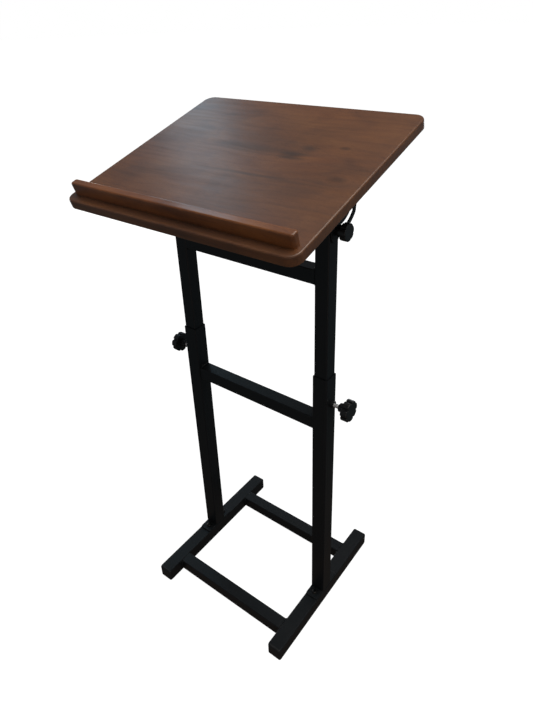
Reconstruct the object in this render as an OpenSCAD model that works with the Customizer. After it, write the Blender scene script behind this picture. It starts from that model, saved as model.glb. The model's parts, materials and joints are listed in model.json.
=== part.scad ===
// Presentation lectern: a tilting wooden desk on a two-post, height-adjustable steel stand.
// Millimetres, +Z up, +X to the reader's right, the reader stands at -Y.
// The origin is on the floor, under the middle of the overall footprint.

/* [Desk] */
// Width of the desk board
board_w = 480; // [440:5:520]
// Depth of the desk board along its slope
board_d = 400; // [370:5:430]
// Thickness of the desk board
board_t = 18; // [16:0.5:20]
// Corner radius of the desk board seen from above
board_corner_r = 20; // [12:1:30]
// Radius of the rounded-over edges of the desk board
board_edge_r = 3; // [1:0.5:4]
// Slope of the desk board as it stands, in degrees
board_tilt = 17; // [0:1:19]
// Length of the book stop
stop_l = 460; // [400:5:470]
// Thickness of the book stop, front to back
stop_t = 15; // [12:0.5:18]
// Height of the book stop above the board
stop_h = 22.5; // [15:0.5:30]
// Distance from the board's front edge to the book stop
stop_setback = 18; // [12:1:30]

/* [Stand] */
// Distance between the centres of the two posts
post_spacing = 328; // [320:2:336]
// Outside size of the lower square tube
outer_s = 32; // [32:0.5:33]
// Wall of the lower square tube
outer_wall = 1.5; // [1.4:0.1:1.6]
// Outside size of the upper square tube and of the crossbars
inner_s = 28; // [27:0.5:28]
// Wall of the upper square tube and of the crossbars
inner_wall = 1.2; // [1:0.1:1.5]
// Outside corner radius of the square tubes
tube_r = 2; // [1.6:0.1:2.2]
// Length of each runner, end caps included
runner_l = 372; // [350:2:380]
// Distance from the posts forward to the front crossbar
front_bar_y = 130; // [110:1:140]
// Distance from the posts back to the rear crossbar
rear_bar_y = 114; // [100:1:140]
// Height of the mouth of the lower posts
sleeve_top = 625; // [610:1:640]
// Height of the top face of the middle crossbar
mid_bar_top = 527.5; // [480:0.5:535]
// Height of the top face of the upper crossbar as it stands
upper_bar_top = 838; // [830:1:845]
// Length of each upper post
inner_post_l = 560; // [500:5:600]

/* [Tilt mechanism] */
// Height of the tilt axis as it stands
pivot_z = 968; // [960:1:975]
// Distance from the board's front edge back to the tilt axis, along the board
pivot_setback = 197; // [190:1:210]
// Distance from the underside of the board down to the tilt axis
pivot_drop = 18; // [17:0.5:20]
// Radius of the curved slot's centre line about the tilt axis
slot_r = 58; // [55:1:62]
// Width of the curved slot
slot_w = 10.5; // [9:0.5:11]
// Steepest slope that the slot allows, in degrees
tilt_steepest = 20; // [20:1:24]
// Backward slope that the slot allows, in degrees
tilt_backward = 33; // [20:1:33]
// Width of the steel left on each side of the slot
slot_rim = 8; // [4:0.5:9]
// Thickness of the slotted plate
arc_t = 2.5; // [2:0.5:3]
// Thickness of the strap welded to the upper post
strap_t = 3; // [2:0.5:4]

/* [Knobs] */
// Head diameter of the height knobs
height_knob_d = 42; // [36:1:46]
// Height of the height knobs' axis above the floor
height_knob_z = 565; // [555:1:590]
// Head diameter of the tilt knobs
tilt_knob_d = 30; // [26:1:34]
// Number of lobes on each knob
knob_lobes = 7; // [5:1:8]

/* [Hidden] */

$fn = 64;
eps = 0.02;                 // overlap of cutting shapes past the faces they open
gap = 0.3;                  // clearance between pieces that move past each other

// Where the posts stand, so that the tilted board is centred front to back on the origin
board_run = board_d * cos(board_tilt) + board_t * sin(board_tilt);
pivot_n = board_t + pivot_drop;
pivot_to_front = pivot_setback * cos(board_tilt) + pivot_n * sin(board_tilt);
post_y = pivot_to_front - board_run / 2;

post_x = post_spacing / 2;
outer_face_x = post_x + outer_s / 2;
inner_face_x = post_x + inner_s / 2;
strap_x = inner_face_x + strap_t;           // outer face of the welded strap
arc_x = strap_x + gap;                      // inner face of the slotted plate
stack_x = arc_x + arc_t + gap;              // inner face of the washers outside the plate

cap_t = 4.5;                // visible thickness of a runner end cap
cap_plug = 14;              // how far a cap's plug goes into the tube
plate_t = 3;                // foot plate
plate_l = 84;
plate_w = 31;
foot_screw_y = 28;
post_z0 = outer_s + plate_t;
weld_r = 7;                 // leg of the weld fillets

m8 = 8;                     // thread diameter of studs and bolts
m8_fit = 8.16;              // hole that turns on an M8 shank
m8_clear = 8.6;
nut_af = 13;                // M8 nut across flats
nut_t = 6.5;
washer_t = 1.6;
washer_d = 16;
bolt_head_t = 5.3;

tilt_stud_z = pivot_z - slot_r;
strap_w = 22;
strap_low = 11.5;           // strap's lower round end below the tilt stud
top_cap_t = 2;
post_top = pivot_z + 9;
glide_t = 3;

arc_r_out = slot_r + slot_w / 2 + slot_rim;
flange_w = 20;
flange_front = -26;         // ends of the flange along the board, from the tilt axis
flange_rear = 74;
flange_screws = [-16, 24, 64];
flange_lip = 8;             // straight ends of the plate below the board
web_neck = 15;              // front edge of the plate beside the tilt axis
arc_screw_d = 4.5;

stop_screw_x = [-190, 0, 190];
stop_screw_d = 4;

height_hub_x = 198;         // inner end of the height knob's hub
height_hub_d = 18;
height_hub_l = 12;
height_head_t = 14;
tilt_hub_d = 20;
tilt_hub_l = 9;
tilt_head_t = 11;

steel_black = "#17191b";
zinc = "#b9bcbe";
plastic_black = "#101113";
walnut = "#5e3a25";

// ---------------------------------------------------------------- shared shapes

// Square with four round corners, centred
module rounded_square(s, r) {
    square([s - 2 * r, s], center = true);
    square([s, s - 2 * r], center = true);
    for (x = [-1, 1], y = [-1, 1])
        translate([x * (s / 2 - r), y * (s / 2 - r)]) circle(r);
}

// Rectangle with four round corners, centred
module rounded_rect(w, d, r) {
    square([w - 2 * r, d], center = true);
    square([w, d - 2 * r], center = true);
    for (x = [-1, 1], y = [-1, 1])
        translate([x * (w / 2 - r), y * (d / 2 - r)]) circle(r);
}

// Hollow square tube standing on z = 0
module square_tube(s, wall, l) {
    linear_extrude(l) difference() {
        rounded_square(s, tube_r);
        rounded_square(s - 2 * wall, tube_r - wall + 0.4);
    }
}

// Round bar along +X from x0 to x1
module x_rod(d, x0, x1) {
    translate([x0, 0, 0]) rotate([0, 90, 0]) cylinder(d = d, h = x1 - x0);
}

// Hexagon prism along +X from x0 to x1
module x_hex(af, x0, x1) {
    translate([x0, 0, 0]) rotate([0, 90, 0]) cylinder(d = af / cos(30), h = x1 - x0, $fn = 6);
}

// Concave weld fillet in the corner between +X and +Y walls, h tall
module weld_fillet(r, h) {
    linear_extrude(h) difference() {
        square(r);
        translate([r, r]) circle(r);
    }
}

// Puts its children on both sides, mirrored in X
module both_sides() {
    children();
    mirror([1, 0, 0]) children();
}

// Slab with round corners in plan and rounded edges. It spans x = -w/2 to w/2, y = 0 to d.
// Top edges have radius rt and bottom edges rb.
module soft_slab(w, d, t, corner, rt, rb) {
    translate([-w / 2 + corner, 0, 0]) rotate([90, 0, 90])
        linear_extrude(w - 2 * corner) edge_profile(d, t, rt, rb);
    for (side = [0, 1]) mirror([side, 0, 0])
        translate([0, d - corner, 0]) rotate([90, 0, 0]) linear_extrude(d - 2 * corner)
            translate([w / 2 - 2 * corner, 0]) edge_profile(2 * corner, t, rt, rb);
    for (x = [-w / 2 + corner, w / 2 - corner], y = [corner, d - corner])
        translate([x, y, 0]) rotate_extrude() intersection() {
            translate([-corner, 0]) edge_profile(2 * corner, t, rt, rb);
            square([corner, t]);
        }
}

// Cross-section of a slab: x = 0 to d, y = 0 to t, with rounded top and bottom corners
module edge_profile(d, t, rt, rb) {
    translate([0, rb]) square([d, t - rt - rb]);
    translate([rt, t / 2]) square([d - 2 * rt, t / 2]);
    translate([rb, 0]) square([d - 2 * rb, t / 2]);
    for (x = [rt, d - rt]) translate([x, t - rt]) circle(rt);
    if (rb > 0) for (x = [rb, d - rb]) translate([x, rb]) circle(rb);
}

// Moves from the board's own frame to the part's frame.
// In the board's frame the tilt axis is the origin, +Y runs up the slope and +Z is the
// board's normal.
module on_board() {
    translate([0, post_y, pivot_z]) rotate([board_tilt, 0, 0]) children();
}

// Places children with the tilt stud's axis, or any axis at height z, as their own X axis
module on_axis(z) {
    translate([0, post_y, z]) children();
}

// ---------------------------------------------------------------- base

module runner() {
    color(steel_black)
        translate([post_x, post_y + runner_l / 2 - cap_t, outer_s / 2]) rotate([90, 0, 0])
            difference() {
                square_tube(outer_s, outer_wall, runner_l - 2 * cap_t);
                for (y = [-1, 1])
                    translate([0, 0, runner_l / 2 - cap_t + y * foot_screw_y]) rotate([-90, 0, 0])
                        cylinder(d = 9.1, h = outer_s);
            }
}

module base_runner_right() runner();
module base_runner_left() mirror([1, 0, 0]) runner();

// Square plastic plug with a visible end plate
module end_cap() {
    rotate([-90, 0, 0]) linear_extrude(cap_t) rounded_square(outer_s, tube_r + 1);
    translate([0, -cap_plug, 0]) rotate([-90, 0, 0]) linear_extrude(cap_plug + eps)
        rounded_square(outer_s - 2 * outer_wall - 0.2, 1);
}

module runner_end_caps() {
    color(plastic_black) both_sides() translate([post_x, post_y, outer_s / 2]) {
        translate([0, runner_l / 2 - cap_t, 0]) end_cap();
        mirror([0, 1, 0]) translate([0, runner_l / 2 - cap_t, 0]) end_cap();
    }
}

// Crossbar between two flat faces at x = -half and +half, its centre at y and z
module crossbar(half, y, z) {
    color(steel_black) translate([-half, y, z]) rotate([0, 90, 0])
        square_tube(inner_s, inner_wall, 2 * half);
}

module base_crossbar_front() {
    crossbar(post_x - outer_s / 2, post_y - front_bar_y, outer_s - inner_s / 2);
}

module base_crossbar_rear() {
    crossbar(post_x - outer_s / 2, post_y + rear_bar_y, outer_s - inner_s / 2);
}

module base_weld_fillets() {
    color(steel_black) both_sides()
        for (y = [-front_bar_y, rear_bar_y], side = [-1, 1])
            translate([post_x - outer_s / 2, post_y + y + side * inner_s / 2,
                       outer_s - inner_s + tube_r])
                mirror([1, 0, 0]) scale_y(side) weld_fillet(weld_r, inner_s - 2 * tube_r);
}

// Mirrors in Y when side is -1
module scale_y(side) {
    if (side < 0) mirror([0, 1, 0]) children();
    else children();
}

module foot_plate() {
    color(steel_black) translate([post_x, post_y, outer_s]) difference() {
        linear_extrude(plate_t) rounded_rect(plate_w, plate_l, 5);
        for (y = [-1, 1]) translate([0, y * foot_screw_y, -eps]) cylinder(d = 6.6, h = plate_t + 1);
    }
}

module foot_plate_right() foot_plate();
module foot_plate_left() mirror([1, 0, 0]) foot_plate();

// Pan-head machine screw with a cross recess, its head resting on z = 0
module cross_screw(head_d, head_h, shank_d, shank_l) {
    difference() {
        union() {
            cylinder(d = head_d, h = head_h * 0.45);
            translate([0, 0, head_h * 0.45]) cylinder(d1 = head_d, d2 = head_d * 0.55, h = head_h * 0.55);
        }
        for (a = [0, 90]) rotate(a)
            translate([-head_d * 0.27, -head_d * 0.055, head_h * 0.4])
                cube([head_d * 0.54, head_d * 0.11, head_h]);
    }
    translate([0, 0, -shank_l]) cylinder(d = shank_d, h = shank_l + eps);
}

module foot_screws() {
    color(steel_black) both_sides() for (y = [-1, 1])
        translate([post_x, post_y + y * foot_screw_y, outer_s + plate_t])
            cross_screw(11.5, 4, 6, 15);
}

// Threaded inserts in the top wall of each runner that the foot screws go into
module foot_rivet_nuts() {
    color(zinc) both_sides() for (y = [-1, 1])
        translate([post_x, post_y + y * foot_screw_y, outer_s - 13]) difference() {
            cylinder(d = 9, h = 13);
            translate([0, 0, -eps]) cylinder(d = 6.1, h = 14);
        }
}

// ---------------------------------------------------------------- lower posts

module outer_post() {
    color(steel_black) difference() {
        translate([post_x, post_y, post_z0])
            square_tube(outer_s, outer_wall, sleeve_top - post_z0);
        on_axis(height_knob_z) x_rod(m8_clear, post_x + outer_s / 4, outer_face_x + 1);
    }
}

module outer_post_right() outer_post();
module outer_post_left() mirror([1, 0, 0]) outer_post();

module mid_crossbar() {
    crossbar(post_x - outer_s / 2, post_y, mid_bar_top - inner_s / 2);
}

// Weld fillets above and below the end of a crossbar that meets a post face at x = half
module bar_end_welds(half, z_top, leg) {
    translate([half, post_y + inner_s / 2 - tube_r, z_top]) rotate([90, 0, 0])
        mirror([1, 0, 0]) weld_fillet(leg, inner_s - 2 * tube_r);
    translate([half, post_y + inner_s / 2 - tube_r, z_top - inner_s]) rotate([90, 0, 0])
        mirror([1, 0, 0]) mirror([0, 1, 0]) weld_fillet(leg, inner_s - 2 * tube_r);
}

module mid_weld_fillets() {
    color(steel_black) both_sides() bar_end_welds(post_x - outer_s / 2, mid_bar_top, weld_r);
}

module height_weld_nuts() {
    color(steel_black) both_sides() on_axis(height_knob_z) difference() {
        x_hex(nut_af, outer_face_x, outer_face_x + nut_t);
        x_rod(m8_fit, outer_face_x - 1, outer_face_x + nut_t + 1);
    }
}

// ---------------------------------------------------------------- upper frame

module inner_post() {
    color(steel_black) difference() {
        translate([post_x, post_y, post_top - inner_post_l])
            square_tube(inner_s, inner_wall, inner_post_l);
        on_axis(pivot_z) x_rod(m8_clear, post_x - inner_s, post_x + inner_s);
        on_axis(tilt_stud_z) x_rod(m8_clear, post_x, post_x + inner_s);
    }
}

module inner_post_right() inner_post();
module inner_post_left() mirror([1, 0, 0]) inner_post();

module post_top_caps() {
    color(plastic_black) both_sides() translate([post_x, post_y, post_top]) {
        linear_extrude(top_cap_t) rounded_square(inner_s, tube_r);
        translate([0, 0, -4]) linear_extrude(4 + eps)
            rounded_square(inner_s - 2 * inner_wall - 0.2, 1);
    }
}

// Plastic shoes that guide the upper posts inside the lower ones
module post_bottom_glides() {
    color(plastic_black) both_sides() translate([post_x, post_y, post_top - inner_post_l]) {
        translate([0, 0, -glide_t]) linear_extrude(glide_t)
            rounded_square(outer_s - 2 * outer_wall - 2 * gap, 1.2);
        linear_extrude(20) rounded_square(inner_s - 2 * inner_wall - 0.2, 1);
    }
}

module upper_crossbar() {
    crossbar(post_x - inner_s / 2, post_y, upper_bar_top - inner_s / 2);
}

module upper_weld_fillets() {
    color(steel_black) both_sides() {
        bar_end_welds(post_x - inner_s / 2, upper_bar_top, weld_r - 2);
        for (y = [-1, 1], z = [tilt_stud_z - 2, pivot_z - 16])
            translate([inner_face_x, post_y + y * strap_w / 2, z]) scale_y(y)
                weld_fillet(strap_t - 0.4, 14);
    }
}

// Round-ended strap welded to the outer face of the upper post, through which the pivot
// bolt and the tilt stud pass
module tilt_strap() {
    color(steel_black) difference() {
        translate([inner_face_x, post_y, 0]) rotate([90, 0, 90]) linear_extrude(strap_t) {
            translate([-strap_w / 2, tilt_stud_z - strap_low])
                square([strap_w, pivot_z - tilt_stud_z + strap_low]);
            for (z = [tilt_stud_z - strap_low, pivot_z]) translate([0, z]) circle(d = strap_w);
        }
        for (z = [pivot_z, tilt_stud_z])
            on_axis(z) x_rod(m8_clear, inner_face_x - 1, strap_x + 1);
    }
}

module tilt_strap_right() tilt_strap();
module tilt_strap_left() mirror([1, 0, 0]) tilt_strap();

module tilt_weld_nuts() {
    nut_x = inner_face_x - inner_wall;
    color(zinc) both_sides() on_axis(tilt_stud_z) difference() {
        x_hex(nut_af, nut_x - nut_t, nut_x);
        x_rod(m8_fit, nut_x - nut_t - 1, nut_x + 1);
    }
}

pivot_nut_x = post_x - inner_s / 2 - washer_t;

module pivot_bolts() {
    color(zinc) both_sides() on_axis(pivot_z) {
        x_rod(m8, pivot_nut_x - nut_t - 2, stack_x + washer_t + eps);
        x_hex(nut_af, stack_x + washer_t, stack_x + washer_t + bolt_head_t);
    }
}

module pivot_washers() {
    color(zinc) both_sides() on_axis(pivot_z)
        for (x = [stack_x, pivot_nut_x]) difference() {
            x_rod(washer_d, x, x + washer_t);
            x_rod(m8_clear, x - 1, x + washer_t + 1);
        }
}

module pivot_nuts() {
    color(zinc) both_sides() on_axis(pivot_z) difference() {
        x_hex(nut_af, pivot_nut_x - nut_t, pivot_nut_x);
        x_rod(m8 + 0.1, pivot_nut_x - nut_t - 1, pivot_nut_x + 1);
    }
}

// ---------------------------------------------------------------- desk

// Point at radius r on the slot plate. Angle 0 is straight away from the board and
// positive angles turn towards the board's rear edge.
function arc_point(r, a) = [r * sin(a), -r * cos(a)];

// Points on a circle round c, from the angle a0 to the angle a1 in n steps
function ring_points(c, r, a0, a1, n) =
    [for (i = [0:n]) let (a = a0 + (a1 - a0) * i / n) c + r * [cos(a), sin(a)]];

// Angle at which a line from the point p touches a circle round c, on the side given
function touch_angle(p, c, r, side) =
    atan2(p[1] - c[1], p[0] - c[0]) + side * acos(r / norm(p - c));

// Outline of the slotted plate in the board's frame, +X up the slope and +Y the normal
module arc_outline() {
    steps = 24;
    end_r = slot_w / 2 + slot_rim;
    low = 270 - tilt_steepest;          // angles of the slot's ends round the tilt axis
    high = 270 + tilt_backward;
    front_end = arc_point(slot_r, -tilt_steepest);
    rear_end = arc_point(slot_r, tilt_backward);
    neck = [-web_neck, 0];
    lip = pivot_drop - flange_lip;
    difference() {
        polygon(concat(
            [[flange_rear, pivot_drop], [flange_front, pivot_drop], [flange_front, lip], neck],
            ring_points(front_end, end_r, touch_angle(neck, front_end, end_r, 1), low - 3, 10),
            ring_points([0, 0], arc_r_out, low, high, steps),
            ring_points(rear_end, end_r, high + 3,
                        360 + touch_angle([flange_rear, lip], rear_end, end_r, -1), 4),
            [[flange_rear, lip]]));
        polygon(concat(
            ring_points([0, 0], slot_r + slot_w / 2, low, high, steps),
            ring_points(rear_end, slot_w / 2, high + 12, high + 168, 13),
            ring_points([0, 0], slot_r - slot_w / 2, high, low, steps),
            ring_points(front_end, slot_w / 2, low - 168, low - 12, 13)));
        circle(d = m8_fit);
    }
}

// Slotted plate with a flange bent outwards under the board
module arc_plate() {
    color(steel_black) on_board() {
        translate([arc_x, 0, 0]) rotate([90, 0, 90]) linear_extrude(arc_t) arc_outline();
        difference() {
            translate([arc_x, flange_front, pivot_drop - arc_t])
                cube([flange_w, flange_rear - flange_front, arc_t]);
            for (y = flange_screws)
                translate([arc_x + flange_w / 2 + arc_t / 2, y, pivot_drop - arc_t - 1])
                    cylinder(d = arc_screw_d + 0.6, h = arc_t + 2);
        }
    }
}

module arc_plate_right() arc_plate();
module arc_plate_left() mirror([1, 0, 0]) arc_plate();

module arc_plate_screws() {
    color(zinc) both_sides() on_board() for (y = flange_screws)
        translate([arc_x + flange_w / 2 + arc_t / 2, y, pivot_drop - arc_t]) rotate([180, 0, 0])
            cross_screw(9, 3, arc_screw_d, 13);
}

// Places children in the frame of the board's top: origin at the middle of its front edge
module on_desk_top() {
    on_board() translate([0, -pivot_setback, pivot_n]) children();
}

module desk_board() {
    color(walnut) difference() {
        on_desk_top() translate([0, 0, -board_t])
            soft_slab(board_w, board_d, board_t, board_corner_r, board_edge_r, board_edge_r);
        on_board() for (x = [-1, 1], y = flange_screws)
            translate([x * (arc_x + flange_w / 2 + arc_t / 2), y, pivot_drop - 1])
                cylinder(d = arc_screw_d, h = 12.5);
        on_desk_top() for (x = stop_screw_x)
            translate([x, stop_setback + stop_t / 2, -board_t - 1]) {
                cylinder(d = stop_screw_d + 0.4, h = board_t + 2);
                cylinder(d = 9, h = 4.2);
            }
    }
}

module book_stop() {
    color(walnut) on_desk_top() translate([0, stop_setback, 0]) difference() {
        soft_slab(stop_l, stop_t, stop_h, 5, 3, 0);
        for (x = stop_screw_x) translate([x, stop_t / 2, -1]) cylinder(d = stop_screw_d, h = 16);
    }
}

module book_stop_screws() {
    color(zinc) on_desk_top() for (x = stop_screw_x)
        translate([x, stop_setback + stop_t / 2, -board_t]) {
            cylinder(d = stop_screw_d, h = board_t + 14);
            cylinder(d = 8.4, h = 3);
        }
}

// ---------------------------------------------------------------- knobs

// Star-shaped head outline with round lobes and hollow flutes between them
module star(d) {
    lobe_r = d * 0.125;
    difference() {
        union() {
            circle(d * 0.42);
            for (i = [0 : knob_lobes - 1]) rotate(i * 360 / knob_lobes)
                translate([d / 2 - lobe_r, 0]) circle(lobe_r);
        }
        for (i = [0 : knob_lobes - 1]) rotate((i + 0.5) * 360 / knob_lobes)
            translate([d * 0.505, 0]) circle(d * 0.105);
    }
}

// Knob with its axis on X: a hub from x0, then a domed star head
module star_knob(x0, hub_d, hub_l, head_d, head_t) {
    dome_r = head_d * 1.4;
    color(plastic_black) difference() {
        union() {
            x_rod(hub_d, x0, x0 + hub_l + 1);
            intersection() {
                translate([x0 + hub_l, 0, 0]) rotate([90, 0, 90]) linear_extrude(head_t) star(head_d);
                translate([x0 + hub_l + head_t - dome_r, 0, 0]) sphere(dome_r);
            }
        }
        x_rod(m8, x0 - 1, x0 + hub_l + head_t * 0.6);
    }
}

module height_knob() {
    on_axis(height_knob_z)
        star_knob(height_hub_x, height_hub_d, height_hub_l, height_knob_d, height_head_t);
}

module height_knob_right() height_knob();
module height_knob_left() mirror([1, 0, 0]) height_knob();

module height_stud() {
    color(zinc) on_axis(height_knob_z)
        x_rod(m8, inner_face_x + gap, height_hub_x + height_hub_l + height_head_t * 0.6);
}

module height_stud_right() height_stud();
module height_stud_left() mirror([1, 0, 0]) height_stud();

tilt_hub_x = stack_x + washer_t;

module tilt_knob() {
    on_axis(tilt_stud_z) star_knob(tilt_hub_x, tilt_hub_d, tilt_hub_l, tilt_knob_d, tilt_head_t);
}

module tilt_knob_right() tilt_knob();
module tilt_knob_left() mirror([1, 0, 0]) tilt_knob();

module tilt_stud() {
    color(zinc) on_axis(tilt_stud_z)
        x_rod(m8, inner_face_x - inner_wall - nut_t - 2, tilt_hub_x + tilt_hub_l + tilt_head_t * 0.6);
}

module tilt_stud_right() tilt_stud();
module tilt_stud_left() mirror([1, 0, 0]) tilt_stud();

module tilt_washer() {
    color(zinc) on_axis(tilt_stud_z) difference() {
        x_rod(washer_d, stack_x, stack_x + washer_t);
        x_rod(m8, stack_x - 1, stack_x + washer_t + 1);
    }
}

module tilt_washer_right() tilt_washer();
module tilt_washer_left() mirror([1, 0, 0]) tilt_washer();

// ---------------------------------------------------------------- drawing

base_runner_left();
base_runner_right();
runner_end_caps();
base_crossbar_front();
base_crossbar_rear();
base_weld_fillets();
foot_plate_left();
foot_plate_right();
foot_screws();
foot_rivet_nuts();
outer_post_left();
outer_post_right();
mid_crossbar();
mid_weld_fillets();
height_weld_nuts();
inner_post_left();
inner_post_right();
post_top_caps();
post_bottom_glides();
upper_crossbar();
upper_weld_fillets();
tilt_strap_left();
tilt_strap_right();
tilt_weld_nuts();
pivot_bolts();
pivot_washers();
pivot_nuts();
arc_plate_left();
arc_plate_right();
arc_plate_screws();
desk_board();
book_stop();
book_stop_screws();
height_knob_left();
height_knob_right();
height_stud_left();
height_stud_right();
tilt_knob_left();
tilt_knob_right();
tilt_stud_left();
tilt_stud_right();
tilt_washer_left();
tilt_washer_right();
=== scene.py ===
# %% [markdown]
# # A presentation lectern
# A reading desk on a steel stand: a walnut-stained board with a book stop, two telescoping
# square posts on an H-shaped foot, and black star knobs that clamp the height and the tilt.
# The engineering model already exists. It is loaded first and stays exactly where it is, and
# every piece that is made here is put where that model says, in metres.

# %% Load the engineering model
import json
import math

import bmesh
import bpy
from mathutils import Matrix, Vector


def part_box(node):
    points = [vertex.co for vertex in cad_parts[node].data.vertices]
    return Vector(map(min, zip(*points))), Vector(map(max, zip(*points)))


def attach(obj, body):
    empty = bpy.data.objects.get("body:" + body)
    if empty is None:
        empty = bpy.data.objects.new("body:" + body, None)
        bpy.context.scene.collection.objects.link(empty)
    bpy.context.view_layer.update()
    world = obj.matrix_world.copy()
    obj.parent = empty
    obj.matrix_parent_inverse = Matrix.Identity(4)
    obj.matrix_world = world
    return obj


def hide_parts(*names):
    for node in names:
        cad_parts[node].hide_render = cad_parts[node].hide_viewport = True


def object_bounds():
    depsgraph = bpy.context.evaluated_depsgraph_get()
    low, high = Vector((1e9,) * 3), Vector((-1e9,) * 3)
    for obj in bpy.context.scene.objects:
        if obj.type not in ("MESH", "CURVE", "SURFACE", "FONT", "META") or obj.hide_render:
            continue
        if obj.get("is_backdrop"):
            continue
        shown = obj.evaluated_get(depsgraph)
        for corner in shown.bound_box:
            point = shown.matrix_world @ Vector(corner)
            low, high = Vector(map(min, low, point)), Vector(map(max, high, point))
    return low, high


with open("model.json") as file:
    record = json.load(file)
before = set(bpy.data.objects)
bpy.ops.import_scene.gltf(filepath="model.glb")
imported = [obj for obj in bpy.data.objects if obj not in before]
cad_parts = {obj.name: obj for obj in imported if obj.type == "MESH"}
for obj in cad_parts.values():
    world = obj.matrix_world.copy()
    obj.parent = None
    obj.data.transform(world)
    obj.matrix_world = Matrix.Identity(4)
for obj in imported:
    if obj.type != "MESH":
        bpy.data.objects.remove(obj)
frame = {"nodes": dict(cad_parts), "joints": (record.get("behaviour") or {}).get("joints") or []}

cad_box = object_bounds()
print("CAD box:", [[round(v, 4) for v in corner] for corner in cad_box])

# %% [markdown]
# ## Measures that every later step uses
# The board turns about a steel bolt at the top of the posts. The place of that axis is in the
# joint list, and the boxes of the nodes give many other sizes; the slope and some measures are
# given as numbers. One unit here is a metre, so a millimetre has its own short name.

# %% The desk's own frame
mm = 0.001
desk_top_height = 36 * mm          # from the tilt axis up to the face of the board
tilt_joint = next(j for j in frame["joints"] if j["name"] == "board_tilt")
hinge = Vector(tilt_joint["pos_m"])
desk_slope = math.radians(17)
# Y runs up the slope and Z is the board's normal, with the tilt axis as the origin
desk_frame = Matrix.Translation(hinge) @ Matrix.Rotation(desk_slope, 4, "X")
print("tilt axis at", [round(v, 4) for v in hinge], "slope", round(math.degrees(desk_slope), 1))

# %% [markdown]
# ## Colour and nodes
# Paint and stain colours are usually written as sRGB hex values, while a shader works in linear
# light, so one function turns the one into the other. A second one sets or feeds the inputs of
# a shader node, and a third adds a node with them at once, which keeps each recipe readable.

# %% Colour and node helpers
def colour(hex_value):
    """A hex sRGB colour as linear red, green, blue and alpha."""
    channels = [int(hex_value[i:i + 2], 16) / 255 for i in (1, 3, 5)]
    return tuple(c / 12.92 if c <= 0.04045 else ((c + 0.055) / 1.055) ** 2.4
                 for c in channels) + (1,)


def set_inputs(recipe, node, inputs):
    """An input is a value, the socket that feeds it, or a node, for its first output in use."""
    for name, value in inputs.items():
        if isinstance(value, bpy.types.Node):
            value = next(output for output in value.outputs if output.enabled)
        if isinstance(value, bpy.types.NodeSocket):
            recipe.links.new(value, node.inputs[name])
        else:
            node.inputs[name].default_value = value


def add_node(recipe, kind, inputs=None, **settings):
    """One more shader node, with its settings and its inputs."""
    fresh = recipe.nodes.new("ShaderNode" + kind)
    for name, value in settings.items():
        setattr(fresh, name, value)
    set_inputs(recipe, fresh, inputs or {})
    return fresh


def new_finish(name):
    """An empty material with a surface shader: the material, its nodes and the shader."""
    finish = bpy.data.materials.new(name)
    finish.use_nodes = True
    recipe = finish.node_tree
    recipe.nodes.clear()
    surface = add_node(recipe, "BsdfPrincipled")
    add_node(recipe, "OutputMaterial", {"Surface": surface.outputs["BSDF"]})
    return finish, recipe, surface


# Numbers of the two colour inputs on a Mix node that mixes colours
MIX_A, MIX_B = 6, 7

# %% [markdown]
# ## Powder coat and moulded plastic
# The stand is mild steel tube under a satin black polyester powder coat. The powder melts and
# flows, and it sets with a faint orange peel: soft dimples one to two millimetres apart. What
# the eye gets is a nearly black, slightly blue surface with broad, soft highlights.
#
# The knobs are injection-moulded glass-filled nylon and the plugs are polyethylene. Both come
# out of a spark-eroded mould with a matt, very fine texture. Real texture is about 0.1 mm, too
# fine to show, so it is drawn at 0.5 mm.
#
# All three are built alike: a fine noise is a shallow bump, and a broad one varies the colour
# and the gloss, as handling does. Only the coat has specks of dust.

# %% Satin black powder coat and moulded black plastic
def black_skin(name, peel, patch, shades, gloss, optics, dust=0.0):
    """peel and patch are the size, detail and roughness of the fine and the broad noise, and
    peel goes on with the strength and depth of its bump. dust is how much the specks cover."""
    finish, recipe, surface = new_finish(name)
    place = add_node(recipe, "TexCoord").outputs["Object"]
    fine, broad = (add_node(recipe, "TexNoise", {
        "Vector": place, "Scale": 1 / size, "Detail": detail, "Roughness": roughness})
        for size, detail, roughness in (peel[:3], patch))
    body = add_node(recipe, "Mix", {0: broad, MIX_A: colour(shades[0]),
                                    MIX_B: colour(shades[1])}, data_type="RGBA")
    if dust:
        motes = add_node(recipe, "TexNoise",
                         {"Vector": place, "Scale": 1 / (0.9 * mm), "Detail": 1.0})
        specks = add_node(recipe, "MapRange", {"Value": motes, "From Min": 0.7,
                                               "From Max": 0.8, "To Max": dust})
        body = add_node(recipe, "Mix", {0: specks, MIX_A: body, MIX_B: colour("#4a4d50")},
                        data_type="RGBA")
    sheen = add_node(recipe, "MapRange", {"Value": broad, "From Min": 0.3, "From Max": 0.7,
                                          "To Min": gloss[0], "To Max": gloss[1]})
    relief = add_node(recipe, "Bump",
                      {"Strength": peel[3], "Distance": peel[4], "Height": fine})
    set_inputs(recipe, surface,
               {"Base Color": body, "Roughness": sheen, "Normal": relief, **optics})
    return finish


moulded_peel = (0.5 * mm, 2.0, 0.5, 0.25, 0.04 * mm)
moulded_flow = (14 * mm, 2.0, 0.5)
coated_steel = black_skin(
    "Satin black powder coat on steel", (1.6 * mm, 2.0, 0.45, 0.16, 0.05 * mm),
    (90 * mm, 4.0, 0.6), ("#16191c", "#1c1f22"), (0.38, 0.48),
    {"IOR": 1.5, "Specular IOR Level": 0.27}, dust=0.35)
knob_nylon = black_skin("Moulded black nylon", moulded_peel, moulded_flow,
                        ("#0b0d0f", "#14171a"), (0.35, 0.45), {"IOR": 1.53})
plug_plastic = black_skin("Moulded black polyethylene", moulded_peel, moulded_flow,
                          ("#16181a", "#14171a"), (0.45, 0.55), {"IOR": 1.53})
print("finishes:", coated_steel.name, "and", knob_nylon.name, "and", plug_plastic.name)

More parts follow.
